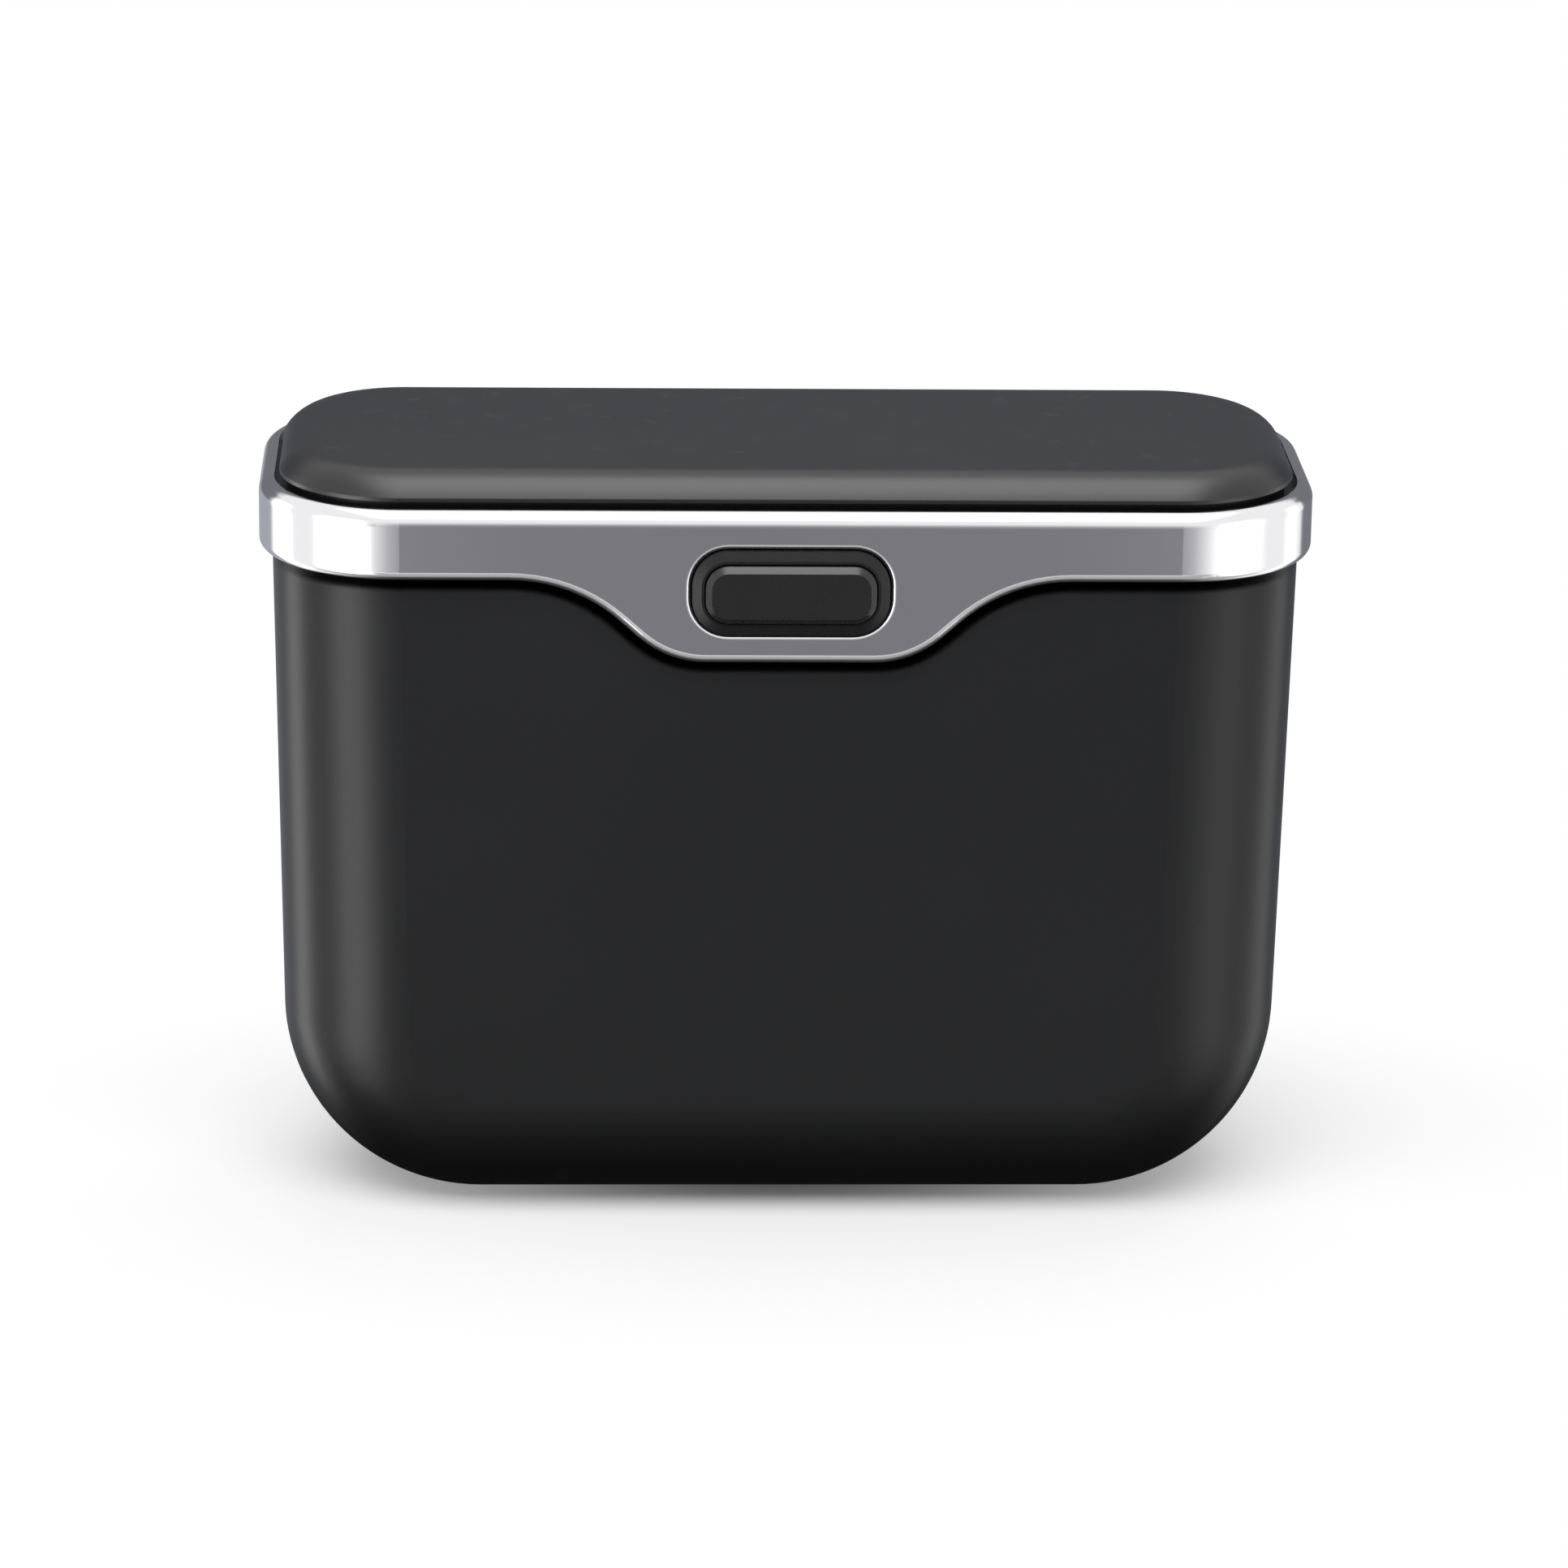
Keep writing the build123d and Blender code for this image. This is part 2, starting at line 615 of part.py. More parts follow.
# Latch housing: box behind the bezel, open in front, with a slot for the catch
with BuildPart() as latch_housing:
    with BuildSketch(Plane.XZ.offset(-bezel_back_y)):
        with Locations((0, button_z)):
            Rectangle(housing_width, housing_height)
    extrude(amount=bezel_back_y - housing_back_y)
    with BuildSketch(Plane.XZ.offset(-boss_end_y)):
        with Locations((0, button_z)):
            SlotOverall(boss_spacing + 2 * boss_radius, 2 * boss_radius)
            with GridLocations(boss_spacing, 0, 2, 1):
                Circle(screw_radius + screw_clearance, mode=Mode.SUBTRACT)
    extrude(amount=-housing_wall)
    with BuildSketch(Plane.XZ.offset(-bezel_back_y)):
        with Locations((0, button_z)):
            Rectangle(cavity_width, cavity_height)
    extrude(amount=bezel_back_y - housing_inner_y, mode=Mode.SUBTRACT)
    with BuildSketch(Plane.XY.offset(button_z)):
        with Locations((0, catch_arc_y - slide_fit)):
            Rectangle(window_width, tooth_y + slide_fit - catch_arc_y, align=(Align.CENTER, Align.MIN))
    extrude(amount=housing_height / 2, mode=Mode.SUBTRACT)
latch_housing.part.label = "latch_housing"
export_step(latch_housing.part, "parts/latch_housing.step")

# Housing screws, driven from inside the tub
with BuildPart() as housing_screws:
    for x in (-boss_spacing / 2, boss_spacing / 2):
        under_head = Plane((x, boss_end_y + housing_wall, button_z), z_dir=(0, 1, 0))
        add(screw(under_head, housing_wall + housing_screw_bite))
housing_screws.part.label = "housing_screws"
export_step(housing_screws.part, "parts/housing_screws.step")

# Button springs, between the slide and the back of the housing
spring_length = housing_inner_y - slide_back_y - 2 * (spring_wire + spring_end_gap)
spring_y = slide_back_y + spring_wire + spring_end_gap
with BuildPart() as button_springs:
    for x in (-spring_spacing / 2, spring_spacing / 2):
        spring_plane = Plane((x, spring_y, button_z - spring_drop), z_dir=(0, 1, 0))
        button_coil = coil(spring_radius, spring_wire, spring_length, spring_turns)
        add(spring_plane * button_coil)
button_springs.part.label = "button_springs"
export_step(button_springs.part, "parts/button_springs.step")

# Hanging hook: plate on the back wall, bridge and tongue
with BuildPart() as hanging_hook:
    with BuildSketch(Plane.YZ) as profile:
        with BuildLine():
            Polyline(
                (wall_y(hook_foot_z), hook_foot_z),
                (wall_y(hook_top_z), hook_top_z),
                (tongue_back_y, hook_top_z),
                (tongue_back_y, tongue_z),
                (tongue_y, tongue_z),
                (tongue_y, hook_top_z - hook_plate),
                (plate_y, hook_top_z - hook_plate),
                (plate_y, hook_foot_z),
                close=True,
            )
        make_face()
        fillet(profile.vertices().group_by(Axis.Y)[-1].sort_by(Axis.X)[-1], hook_outer_round)
    extrude(amount=hook_width / 2, both=True)
    tips = hanging_hook.edges().filter_by(Axis.Y).filter_by_position(Axis.Z, tongue_z, hook_foot_z)
    fillet(tips, tongue_tip_round)
    for z in hook_screws_z:
        with BuildSketch(Plane.XZ.offset(-wall_y(z) - hook_screw_bite - pilot_spare)):
            with Locations((0, z)):
                Circle(screw_radius)
        extrude(amount=2 * hook_screw_bite, mode=Mode.SUBTRACT)
hanging_hook.part.label = "hanging_hook"
export_step(hanging_hook.part, "parts/hanging_hook.step")

# Hook screws, driven from inside the tub
with BuildPart() as hook_screws:
    for z in hook_screws_z:
        head_y = wall_y(z - screw_head_radius) - tub_wall
        under_head = Plane((0, head_y, z), z_dir=(0, -1, 0))
        add(screw(under_head, wall_y(z) - head_y + hook_screw_bite))
hook_screws.part.label = "hook_screws"
export_step(hook_screws.part, "parts/hook_screws.step")
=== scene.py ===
import bpy
import bmesh
import json
from math import cos, pi, radians, sin
from mathutils import Matrix, Vector


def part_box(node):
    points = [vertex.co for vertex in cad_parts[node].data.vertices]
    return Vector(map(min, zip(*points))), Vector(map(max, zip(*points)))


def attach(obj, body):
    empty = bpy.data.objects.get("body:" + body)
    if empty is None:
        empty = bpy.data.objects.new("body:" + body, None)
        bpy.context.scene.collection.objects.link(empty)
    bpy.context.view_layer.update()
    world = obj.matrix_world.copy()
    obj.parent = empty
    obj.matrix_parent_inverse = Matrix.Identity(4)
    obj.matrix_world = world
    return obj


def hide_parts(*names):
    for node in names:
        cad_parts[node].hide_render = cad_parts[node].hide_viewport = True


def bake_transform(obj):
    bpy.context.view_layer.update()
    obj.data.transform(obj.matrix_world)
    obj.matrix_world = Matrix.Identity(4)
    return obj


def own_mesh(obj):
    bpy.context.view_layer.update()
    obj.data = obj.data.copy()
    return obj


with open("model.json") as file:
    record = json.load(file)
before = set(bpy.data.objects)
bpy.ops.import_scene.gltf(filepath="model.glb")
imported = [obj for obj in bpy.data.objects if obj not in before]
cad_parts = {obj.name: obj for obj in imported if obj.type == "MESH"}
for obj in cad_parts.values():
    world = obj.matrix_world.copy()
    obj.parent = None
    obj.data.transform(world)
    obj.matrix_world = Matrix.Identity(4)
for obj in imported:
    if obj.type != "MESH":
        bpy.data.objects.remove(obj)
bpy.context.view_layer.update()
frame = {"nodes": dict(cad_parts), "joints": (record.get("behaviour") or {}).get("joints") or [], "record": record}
nodes = frame["nodes"]
print("frame loaded:", len(nodes), "CAD nodes")


class Wire:  # a shader socket that can be used in sums
    def __init__(self, socket):
        self.socket = socket
        self.tree = socket.id_data

    def node(self, kind, settings=None, sockets=None, out=0):
        made = self.tree.nodes.new(kind)
        for key, value in (settings or {}).items():
            setattr(made, key, value)
        for key, value in (sockets or {}).items():
            if isinstance(value, Wire):
                self.tree.links.new(value.socket, made.inputs[key])
            else:
                made.inputs[key].default_value = value
        return Wire(made.outputs[out])

    def maths(self, operation, first, second):
        return self.node("ShaderNodeMath", {"operation": operation}, {0: first, 1: second})

    def __add__(self, other):
        return self.maths("ADD", self, other)

    def __sub__(self, other):
        return self.maths("SUBTRACT", self, other)

    def __mul__(self, other):
        return self.maths("MULTIPLY", self, other)

    def __rsub__(self, other):
        return self.maths("SUBTRACT", other, self)

    __radd__ = __add__
    __rmul__ = __mul__


def newMaterial(name, coordinates="Object"):  # an empty Principled material, with its coordinates as a wire
    material = bpy.data.materials.new(name)
    material.use_nodes = True
    tree = material.node_tree
    place = Wire(tree.nodes.new("ShaderNodeTexCoord").outputs[coordinates])
    return material, tree.nodes["Principled BSDF"], place


def plug(shader, **sockets):  # values or wires into the shader, by socket name with _ for a space
    for key, value in sockets.items():
        socket = shader.inputs[key.replace("_", " ")]
        if isinstance(value, Wire):
            value.tree.links.new(value.socket, socket)
        else:
            socket.default_value = value


def noise(place, size, detail=2.0, rough=0.5, stretch=(1, 1, 1)):  # 0 to 1, blobs about size metres across
    scaled = place.node("ShaderNodeMapping", None, {"Vector": place, "Scale": stretch})
    return place.node("ShaderNodeTexNoise", None,
                      {"Vector": scaled, "Scale": 1 / size, "Detail": detail, "Roughness": rough})


def ramp(value, low, high, kind="SMOOTHSTEP"):  # 0 at low, 1 at high
    return value.node("ShaderNodeMapRange", {"interpolation_type": kind},
                      {"Value": value, "From Min": low, "From Max": high})


colourOut = 2  # a Mix node's outputs are for values, vectors and colours


def mixColour(factor, first, second):  # colours are wires, or red, green and blue
    a, b = [c if isinstance(c, Wire) else (*c, 1) for c in (first, second)]
    return factor.node("ShaderNodeMix", {"data_type": "RGBA"}, {"Factor": factor, "A": a, "B": b}, colourOut)


def along(place, axis):  # one coordinate as a wire
    return place.node("ShaderNodeSeparateXYZ", None, {"Vector": place}, axis)


def bumpFrom(height, strength, depth):
    return height.node("ShaderNodeBump", None, {"Height": height, "Strength": strength, "Distance": depth})


# what all the plastics share: the tool's grain, and rub marks from handling, longer along z
toolFace = {"coarser": 3.1, "cloudShare": 0.7, "grainShare": 0.65, "grainRough": 0.06}
rubMarks = {"size": 0.004, "stretch": (1, 1, 0.35), "fade": (0.56, 0.72), "tone": (0.16, 0.16, 0.165),
            "rough": 0.07}


def mouldedPlastic(name, look):
    material, shader, place = newMaterial(name)
    cloud = noise(place, look["cloudSize"], detail=3)  # slow drift of tone
    grain = noise(place, look["grainSize"], detail=1.5)  # spark-eroded tool face
    coarse = noise(place, look["grainSize"] * toolFace["coarser"])
    rub = noise(place, rubMarks["size"], detail=5, rough=0.7, stretch=rubMarks["stretch"])
    rub = ramp(rub, *rubMarks["fade"]) * ramp(along(place, "Z"), look["rubFrom"], look["rubTo"])
    tone = cloud * toolFace["cloudShare"] + coarse * (1 - toolFace["cloudShare"])
    shade = mixColour(rub * look["rubPale"], mixColour(tone, look["dark"], look["light"]), rubMarks["tone"])
    if "paintedShadeReach" in look:  # painted shade: black and without gloss wherever another piece lies within reach, standing in for the shadow under the collar's edge
        unshaded = place.node("ShaderNodeAmbientOcclusion", {"samples": look["paintedShadeRays"]},
                           {"Distance": look["paintedShadeReach"]}, "AO")
        unshaded = ramp(unshaded, *look["paintedShadeFade"])
        shade = mixColour(unshaded, look["paintedShadeTone"], shade)
        plug(shader, Metallic=1 - unshaded)
    drift = (cloud - 0.5) * look["roughDrift"] + (grain - 0.5) * toolFace["grainRough"]
    rough = look["rough"] + drift + rub * rubMarks["rough"]
    height = grain * toolFace["grainShare"] + coarse * (1 - toolFace["grainShare"])
    bump = bumpFrom(height, look["grainStrength"], look["grainDepth"])
    plug(shader, Base_Color=shade, Roughness=rough, Normal=bump, IOR=look["ior"])
    return material


def chromePlating(name, look):
    material, shader, place = newMaterial(name)
    cloud = noise(place, look["cloudSize"], detail=3)
    smudge = ramp(noise(place, look["smudgeSize"], detail=4, rough=0.6), *look["smudgeFade"])  # finger marks
    speck = noise(place, look["speckSize"], detail=1.5)
    worn = 1 - ramp(along(place, "Z"), look["edgeFrom"], look["edgeTo"])  # plating thins along the lower edge
    tone = cloud * look["cloudShare"] + smudge * (1 - look["cloudShare"])
    rough = look["rough"] + smudge * look["smudgeRough"] + cloud * look["cloudRough"] + worn * look["edgeRough"]
    wave = noise(place, look["waveSize"], detail=1)  # the moulding's slight unevenness under the plating
    bump = bumpFrom(wave + speck * look["speckShare"], 1.0, look["waveDepth"])
    plug(shader, Base_Color=mixColour(tone, look["bright"], look["dull"]), Roughness=rough, Metallic=1.0,
         Normal=bump)
    return material


def drawnSteel(name, look):
    material, shader, place = newMaterial(name)
    streak = noise(place, look["streakSize"], detail=3, rough=0.6, stretch=look["streakStretch"])  # from the die
    spot = noise(place, look["spotSize"], detail=3)
    shade = mixColour(spot * look["spotShare"] + streak * (1 - look["spotShare"]), look["bright"], look["dull"])
    bump = bumpFrom(streak, look["streakStrength"], look["streakDepth"])
    plug(shader, Base_Color=shade, Roughness=look["rough"] + streak * look["streakRough"], Metallic=1.0,
         Normal=bump)
    return material


# the tub's last four values paint shade: black and glossless where another piece lies within about 2 mm, as under
# the collar's edge
tubLook = {"dark": (0.0228, 0.0234, 0.0248), "light": (0.0297, 0.0304, 0.0322), "cloudSize": 0.05,
           "grainSize": 0.00045, "grainDepth": 0.000009, "grainStrength": 0.5, "rough": 0.3,
           "roughDrift": 0.05, "ior": 1.3, "rubFrom": 0.012, "rubTo": 0.001, "rubPale": 0.12,
           "paintedShadeReach": 0.0022, "paintedShadeRays": 16, "paintedShadeFade": (0.94, 0.99), "paintedShadeTone": (0.0006, 0.0006, 0.0006)}
lidLook = {"dark": (0.011, 0.011, 0.012), "light": (0.016, 0.016, 0.0175), "cloudSize": 0.04,
           "grainSize": 0.0004, "grainDepth": 0.00001, "grainStrength": 0.5, "rough": 0.32,
           "roughDrift": 0.05, "ior": 1.5, "rubFrom": 0.1195, "rubTo": 0.1212, "rubPale": 0.05}
frameLook = {"dark": (0.009, 0.009, 0.0095), "light": (0.014, 0.014, 0.015), "cloudSize": 0.03,
             "grainSize": 0.0005, "grainDepth": 0.00003, "grainStrength": 0.6, "rough": 0.4,
             "roughDrift": 0.06, "ior": 1.48, "rubFrom": 0.064, "rubTo": 0.057, "rubPale": 0.15}
buttonLook = {"dark": (0.014, 0.0145, 0.014), "light": (0.018, 0.0185, 0.018), "cloudSize": 0.012,
              "grainSize": 0.00035, "grainDepth": 0.000003, "grainStrength": 0.2, "rough": 0.27,
              "roughDrift": 0.05, "ior": 1.5, "rubFrom": 0.1035, "rubTo": 0.108, "rubPale": 0.06}
bezelLook = {**buttonLook, "dark": (0.021, 0.0213, 0.0215), "light": (0.026, 0.0263, 0.0265), "ior": 1.3}
chromeLook = {"bright": (0.86, 0.855, 0.875), "dull": (0.8, 0.797, 0.82), "cloudSize": 0.03,
              "cloudShare": 0.6, "cloudRough": 0.02, "smudgeSize": 0.012, "smudgeFade": (0.5, 0.75),
              "smudgeRough": 0.03, "rough": 0.1, "edgeFrom": 0.0915, "edgeTo": 0.0945, "edgeRough": 0.04,
              "speckSize": 0.0006, "speckShare": 0.004, "waveSize": 0.02, "waveDepth": 0.000012}
steelLook = {"bright": (0.62, 0.62, 0.63), "dull": (0.45, 0.45, 0.46), "rough": 0.26, "spotSize": 0.005,
             "spotShare": 0.6, "streakSize": 0.0012, "streakStretch": (0.25, 1, 1), "streakRough": 0.14,
             "streakStrength": 0.3, "streakDepth": 0.00002}

finishes = {
    "tub_plastic": mouldedPlastic("satinTubPlastic", tubLook),
    "lid_plastic": mouldedPlastic("satinLidPlastic", lidLook),
    "frame_plastic": mouldedPlastic("framePlastic", frameLook),
    "button_plastic": mouldedPlastic("buttonPlastic", buttonLook),
    "chrome_plated_plastic": chromePlating("chromePlating", chromeLook),
    "steel": drawnSteel("drawnSteel", steelLook),
}
for part in frame["record"]["subparts"]:
    nodes[part["node"]].data.materials[0] = finishes[part["material_slot"]]
nodes["button_bezel"].data.materials[0] = mouldedPlastic("bezelPlastic", bezelLook)  # paler, with less gloss
print("finishes set:", ", ".join(finishes))


def showPiece(name, form, body, slot, *replaced):  # a finished bmesh becomes a piece in place of CAD nodes
    bmesh.ops.recalc_face_normals(form, faces=form.faces)
    mesh = bpy.data.meshes.new(name)
    form.to_mesh(mesh)
    form.free()
    for face in mesh.polygons:
        face.use_smooth = True
    mesh.materials.append(finishes[slot])
    piece = bpy.data.objects.new(name, mesh)
    bpy.context.scene.collection.objects.link(piece)
    if body:
        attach(piece, body)
    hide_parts(*replaced)
    return piece


def openEdges(edges):
    return [e for e in edges if e.is_boundary]


def woundWire(form, start, facing, axis, centre, length, look):
    # a wire's round section is spun along its coil; returns the open ring at each end
    turn = Vector((0, 0, 1)).rotation_difference(Vector(facing)).to_matrix().to_4x4()
    made = bmesh.ops.create_circle(form, cap_ends=False, segments=look["sides"], radius=look["wire"],
                                   matrix=Matrix.Translation(start) @ turn)
    first = list(dict.fromkeys(e for v in made["verts"] for e in v.link_edges))
    steps = round(look["turns"] * look["stepsPerTurn"])
    spun = bmesh.ops.spin(form, geom=first, cent=centre, axis=axis, dvec=Vector(axis) * (length / steps),
                          angle=look["turns"] * 2 * pi, steps=steps, use_merge=False, use_duplicate=False)
    last = [e for e in spun["geom_last"] if isinstance(e, bmesh.types.BMEdge)]
    return openEdges(first), openEdges(last)


def drawOut(form, ring, move):  # lengthens a wire from its open end
    out = bmesh.ops.extrude_edge_only(form, edges=ring)["geom"]
    bmesh.ops.translate(form, verts=[v for v in out if isinstance(v, bmesh.types.BMVert)], vec=move)
    return openEdges([e for e in out if isinstance(e, bmesh.types.BMEdge)])


wireEnd = {"length": 0.00015, "taper": 0.7}  # the cut end of a wire, with its burr rolled off


def straightLeg(form, ring, run, length):  # from the coil to the wire's closed end
    tip = drawOut(form, drawOut(form, ring, run * length), run * wireEnd["length"])
    verts = list(dict.fromkeys(v for e in tip for v in e.verts))
    middle = sum((v.co for v in verts), Vector()) / len(verts)
    bmesh.ops.scale(form, verts=verts, vec=[wireEnd["taper"]] * 3, space=Matrix.Translation(-middle))
    bmesh.ops.holes_fill(form, edges=tip, sides=0)


# lid spring: coil round the hinge pin, one leg under the lid and one in the mouth frame
hinge = next(j for j in frame["joints"] if j["name"] == "lid_hinge")["pos_m"]
lidSpring = {"coilRadius": 0.0016, "wire": 0.00035, "halfLength": 0.00805, "turns": 13.75,
             "longLeg": 0.0117, "shortLeg": 0.0042, "stepsPerTurn": 28, "sides": 12}
half = lidSpring["halfLength"]
coil = bmesh.new()
lidEnd, frameEnd = woundWire(coil, Vector((-half, hinge[1], hinge[2] - lidSpring["coilRadius"])), (0, 1, 0),
                             (1, 0, 0), (-half, hinge[1], hinge[2]), 2 * half, lidSpring)
climb = 2 * half / lidSpring["turns"] / (2 * pi * lidSpring["coilRadius"])  # the coil's slope, kept by its legs
straightLeg(coil, lidEnd, Vector((-climb, -1, 0)).normalized(), lidSpring["longLeg"])
straightLeg(coil, frameEnd, Vector((climb, 0, -1)).normalized(), lidSpring["shortLeg"])
lidSpringPiece = showPiece("lidSpringWire", coil, None, "steel", "lid_spring")
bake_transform(lidSpringPiece)
print("lid spring wound:", lidSpring["turns"], "turns")

# button springs: two coils behind the push plate, wound here at their resting length; the button squeezes them as
# it goes in
buttonSpring = {"wire": 0.0003, "turns": 6, "stepsPerTurn": 32, "sides": 12, "keep": 0.818}
low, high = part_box("button_springs")
wire = buttonSpring["wire"]
coilRadius = (high.z - low.z) / 2 - wire
coils = bmesh.new()
for side in (-1, 1):
    middle = Vector((side * (high.x - coilRadius - wire), low.y + wire, (low.z + high.z) / 2))
    front, back = woundWire(coils, middle + Vector((coilRadius, 0, 0)), (0, 0, 1), (0, 1, 0), middle,
                            high.y - low.y - 2 * wire, buttonSpring)
    bmesh.ops.holes_fill(coils, edges=front + back, sides=0)
buttonSpringPiece = showPiece("buttonSpringWires", coils, "bin", "steel", "button_springs")
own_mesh(buttonSpringPiece)
print("button springs wound:", buttonSpring["turns"], "turns each")


# studio: a pale floor that fades into white, lamps for the light and soft cards for the reflections
def stagePlane(name, middle, right, up, material):  # a rectangle with its own UV map from 0 to 1
    form = bmesh.new()
    uvLayer = form.loops.layers.uv.new("UVMap")
    corners = [(-1, -1), (1, -1), (1, 1), (-1, 1)]
    middle, right, up = Vector(middle), Vector(right), Vector(up)
    face = form.faces.new([form.verts.new(middle + a * right + b * up) for a, b in corners])
    for loop, (a, b) in zip(face.loops, corners):
        loop[uvLayer].uv = (0.5 + 0.5 * a, 0.5 + 0.5 * b)
    mesh = bpy.data.meshes.new(name)
    form.to_mesh(mesh)
    form.free()
    mesh.materials.append(material)
    plane = bpy.data.objects.new(name, mesh)
    bpy.context.scene.collection.objects.link(plane)
    return plane


def fadeInto(material, surface, shown, beyond):  # the surface where shown is 1, beyond where it is 0
    mixed = shown.node("ShaderNodeMixShader", None, {0: shown, 1: shown.node(beyond), 2: surface})
    tree = material.node_tree
    tree.links.new(mixed.socket, tree.nodes["Material Output"].inputs["Surface"])


def floorMaterial(look):
    material, shader, place = newMaterial("paleFloor")
    x, y = along(place, "X") * look["narrow"], along(place, "Y")
    away = x.maths("SQRT", x * x + y * y, 0.0)
    mottle = noise(place, look["mottleSize"], detail=3)
    plug(shader, Base_Color=mixColour(mottle, look["pale"], look["paler"]),
         Roughness=look["rough"] + mottle * look["mottleRough"], Specular_IOR_Level=0.0)
    nearBin = 1 - ramp(away, look["fadeFrom"], look["fadeTo"])
    fadeInto(material, Wire(shader.outputs[0]), nearBin, "ShaderNodeEmission")  # plain white, as the room is
    material.cycles.emission_sampling = "NONE"  # that white lights nothing
    return material


floorLook = {"half": 0.6, "pale": (0.95, 0.95, 0.95), "paler": (0.98, 0.98, 0.98), "fadeFrom": 0.0,
             "fadeTo": 0.09, "narrow": 0.55, "rough": 0.9, "mottleSize": 0.05, "mottleRough": 0.08}
floor = stagePlane("floor", (0, 0, 0), (floorLook["half"], 0, 0), (0, floorLook["half"], 0),
                   floorMaterial(floorLook))
floor.visible_glossy = False
floor.visible_shadow = False
floor.visible_diffuse = False


def cardMaterial(name, look):  # fades are shares of the card: left, right, bottom, top
    material, shader, place = newMaterial(name, "UV")
    material.node_tree.nodes.remove(shader)
    glow = place.node("ShaderNodeEmission", None, {"Color": (*look["colour"], 1), "Strength": look["level"]})
    across, upward = along(place, "X"), along(place, "Y")
    left, right, bottom, top = look["fades"]
    sideways = ramp(across, 0, left, look["sides"]) * ramp(1 - across, 0, right, look["sides"])
    shown = sideways * ramp(upward, 0, bottom) * ramp(1 - upward, 0, top)
    fadeInto(material, glow, shown, "ShaderNodeBsdfTransparent")
    return material


def card(name, look):  # seen only in reflections
    plane = stagePlane(name, look["middle"], look["right"], look["up"], cardMaterial(name, look))
    plane.visible_camera = False
    plane.visible_diffuse = False
    plane.visible_shadow = False


cardsFace = (0, 0, 0.09)  # the point that the cards round the bin are turned to


def around(azimuth, elevation, distance, width, height):  # a card that faces the bin; azimuth 0 is in front
    turn, lift = radians(azimuth), radians(elevation)
    out = Vector((sin(turn) * cos(lift), -cos(turn) * cos(lift), sin(lift)))
    right = Vector((cos(turn), sin(turn), 0))
    return {"middle": Vector(cardsFace) + out * distance, "right": right * (width / 2),
            "up": right.cross(out) * (-height / 2)}


white, coolGrey, sky = (1, 1, 1), (0.94, 0.926, 1.0), (0.88, 0.92, 1.0)
even, soft = "LINEAR", "SMOOTHSTEP"
cards = {
    "frontGrey": {"middle": (0.04, -1.0, 0.07), "right": (0.56, 0, 0), "up": (0, 0, 0.55), "colour": coolGrey,
                  "level": 0.23, "fades": (0.41, 0.41, 0.16, 0.6), "sides": even},
    "underGrey": {"middle": (0, -0.6, -0.75), "right": (1.2, 0, 0), "up": (0, 0.9, 0), "colour": white,
                  "level": 0.48, "fades": (0.25, 0.25, 0.02, 0.25), "sides": soft},
    "backGrey": {"middle": (0, 0.95, 0.45), "right": (1.5, 0, 0), "up": (0, 0, 0.5), "colour": sky,
                 "level": 0.2, "fades": (0.12, 0.12, 0.15, 0.3), "sides": soft},
    "backLeft": {"middle": (-0.7, 1.0, -0.4), "right": (0.8, 0, 0), "up": (0, 0, 0.6), "colour": sky,
                 "level": 0.45, "fades": (0.2, 0.05, 0.1, 0.1), "sides": soft},
    "backRight": {"middle": (0.7, 1.02, -0.4), "right": (0.8, 0, 0), "up": (0, 0, 0.6), "colour": sky,
                  "level": 0.22, "fades": (0.05, 0.2, 0.1, 0.1), "sides": soft},
    "leftFront": {**around(-50, -12, 0.9, 0.85, 1.5), "colour": white, "level": 5.0,
                  "fades": (0.45, 0.5, 0.2, 0.3), "sides": soft},
    "leftBack": {**around(-109, -12, 0.9, 0.46, 1.5), "colour": white, "level": 3.6,
                 "fades": (0.45, 0.45, 0.2, 0.3), "sides": soft},
    "rightFront": {**around(55, -12, 0.9, 0.85, 1.5), "colour": white, "level": 2.1,
                   "fades": (0.5, 0.45, 0.2, 0.3), "sides": soft},
    "rightBack": {**around(109, -12, 0.9, 0.36, 1.5), "colour": white, "level": 1.5,
                  "fades": (0.4, 0.4, 0.2, 0.3), "sides": soft},
    "overhead": {"middle": (0.03, -0.2, 1.0), "right": (0.5, 0, 0), "up": (0, 0.75, 0), "colour": white,
                 "level": 4.5, "fades": (0.35, 0.35, 0.35, 0.35), "sides": soft},
    # painted shadow: a near-black sheet just under the base, seen only in reflections, stands in for the floor's
    # shadow round the base
    "paintedShadowUnderBase": {"middle": (0, -0.0075, -0.001), "right": (0.13, 0, 0), "up": (0, 0.1175, 0), "colour": white,
                  "level": 0.01, "fades": (0.25, 0.25, 0.45, 0.3), "sides": soft},
}
for name, look in cards.items():
    card(name, look)
print("floor and cards set:", len(cards), "cards")


lampsFace = (0, 0, 0.06)  # the point that the lamps are aimed at


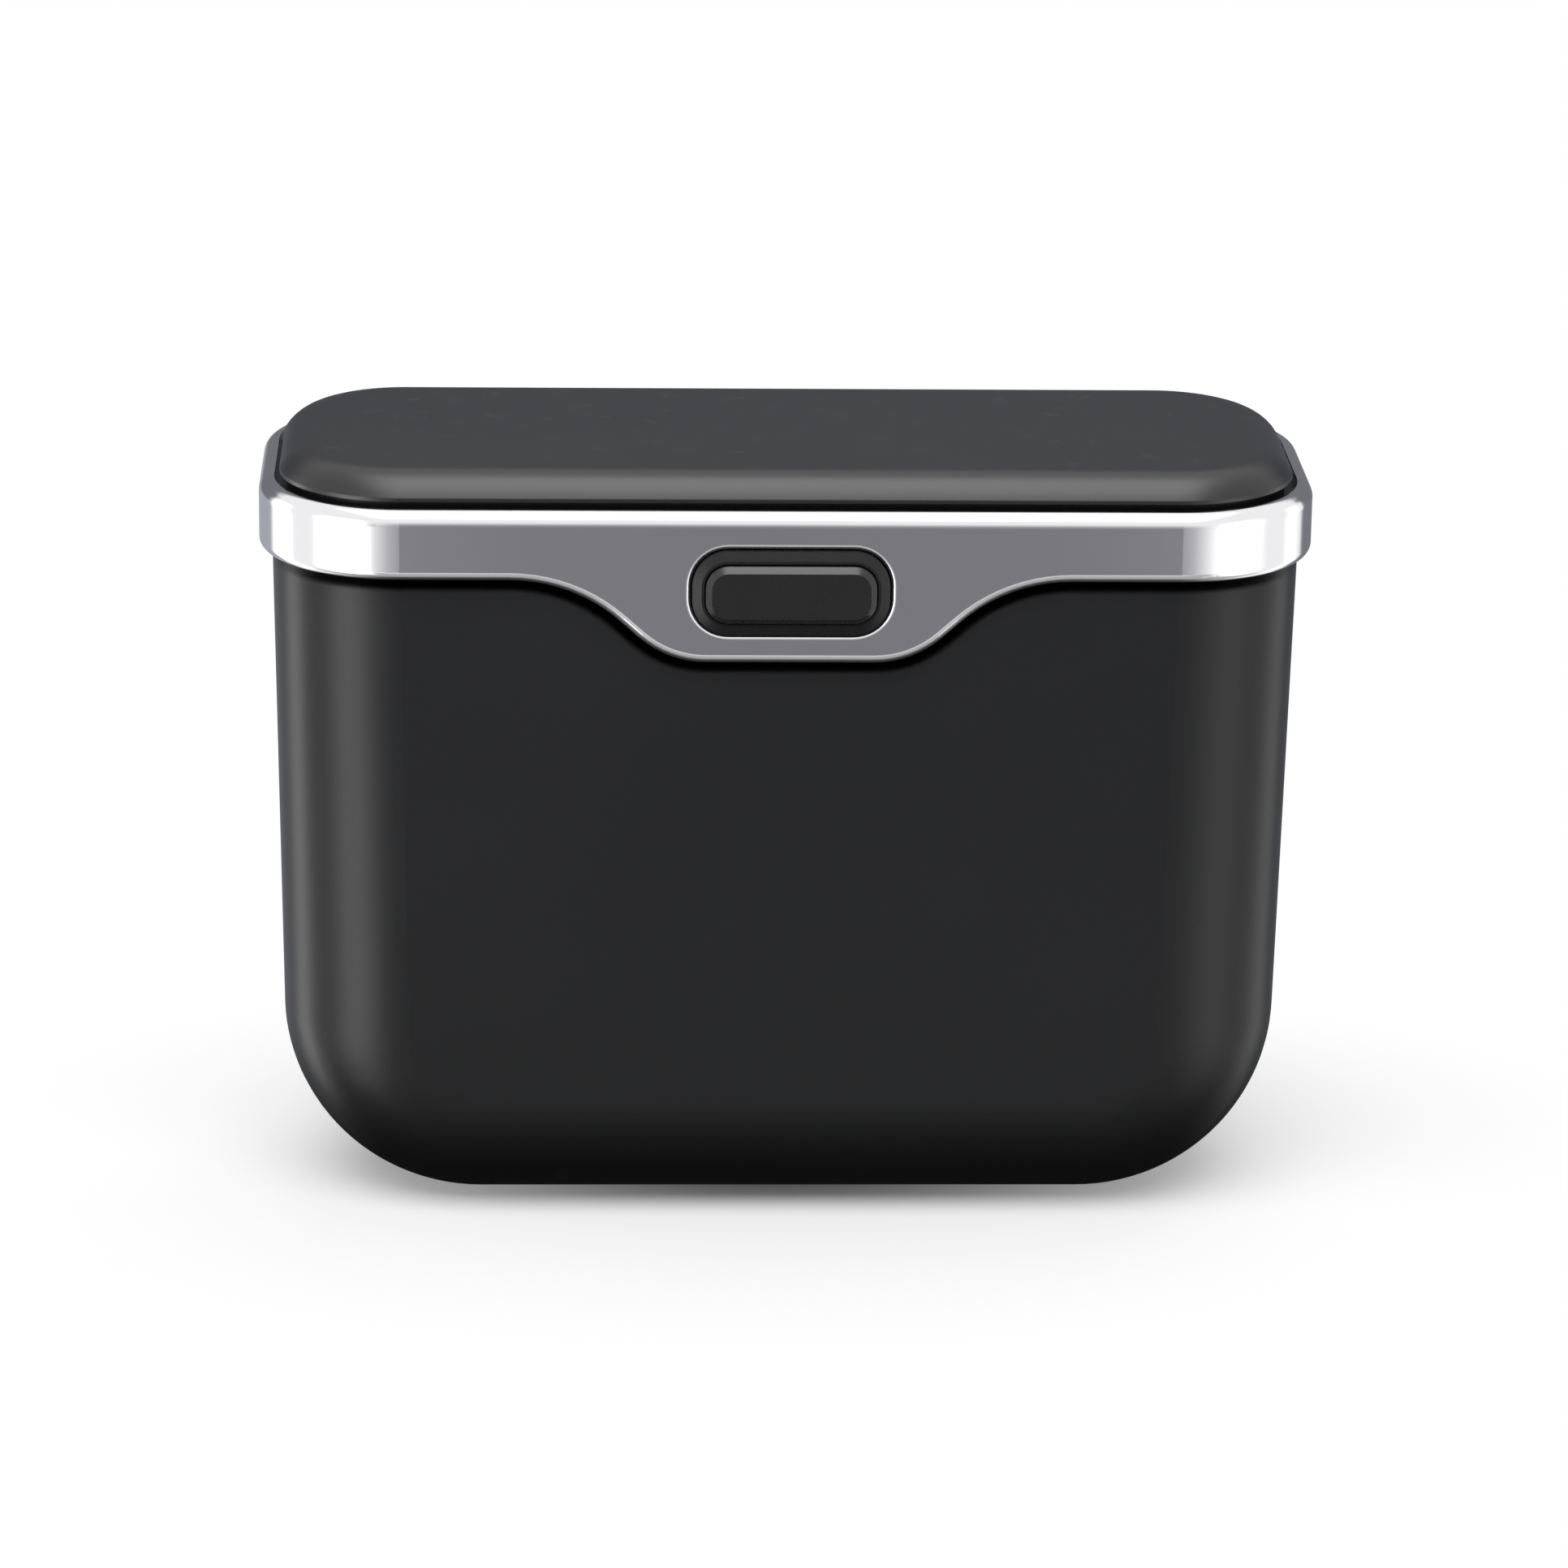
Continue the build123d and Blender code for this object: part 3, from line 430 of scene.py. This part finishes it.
def softbox(name, look):  # level is the brightness of its face
    lamp = bpy.data.lights.new(name, "AREA")
    lamp.shape = "RECTANGLE"
    lamp.size, lamp.size_y = look["size"]
    lamp.energy = look["level"] * pi * lamp.size * lamp.size_y
    holder = bpy.data.objects.new(name, lamp)
    holder.location = look["place"]
    aim = Vector(lampsFace) - Vector(look["place"])
    holder.rotation_euler = aim.to_track_quat("-Z", "Y").to_euler()
    holder.visible_camera = False
    holder.visible_glossy = False
    bpy.context.scene.collection.objects.link(holder)


lamps = {
    "keyLamp": {"place": (-0.15, -0.6, 1.1), "size": (1.4, 0.8), "level": 4.7},
    "backLamp": {"place": (0.3, 0.9, 0.7), "size": (1.2, 0.8), "level": 1.9},
}
for name, look in lamps.items():
    softbox(name, look)

# room: white to the eye and in reflections, a low fill on matt surfaces
roomLook = {"fill": 0.12}
room = bpy.data.worlds.new("whiteRoom")
bpy.context.scene.world = room
room.use_nodes = True
tree = room.node_tree
path = tree.nodes.new("ShaderNodeLightPath")
cameraRay, glossyRay, throughRay = [Wire(path.outputs[f"Is {kind} Ray"])
                                    for kind in ("Camera", "Glossy", "Transmission")]
seen = cameraRay + glossyRay + throughRay
strength = roomLook["fill"] + (1 - roomLook["fill"]) * seen.maths("MINIMUM", seen, 1.0)
plug(tree.nodes["Background"], Color=(1, 1, 1, 1), Strength=strength)

# camera: in front of the bin and above it, almost square on
view = {"pitch": 17.8, "turn": -2.32, "roll": 0.83, "distance": 1.05, "focalPixels": 8155,
        "aim": (0.00066, 0, 0.06268), "imagePixels": 1932, "sensor": 36}
lens = bpy.data.cameras.new("camera")
lens.sensor_width = view["sensor"]
lens.sensor_fit = "HORIZONTAL"
lens.lens = view["focalPixels"] / view["imagePixels"] * view["sensor"]
eye = bpy.data.objects.new("camera", lens)
bpy.context.scene.collection.objects.link(eye)
pitch, turn = radians(view["pitch"]), radians(view["turn"])
away = Vector((sin(turn) * cos(pitch), -cos(turn) * cos(pitch), sin(pitch)))
stand = Matrix.Translation(Vector(view["aim"]) + away * view["distance"])
aimed = (-away).to_track_quat("-Z", "Y").to_matrix().to_4x4()
eye.matrix_world = stand @ aimed @ Matrix.Rotation(radians(view["roll"]), 4, "Z")
bpy.context.scene.camera = eye
bpy.context.scene.view_settings.view_transform = "Standard"
print("lamps, room and camera set")
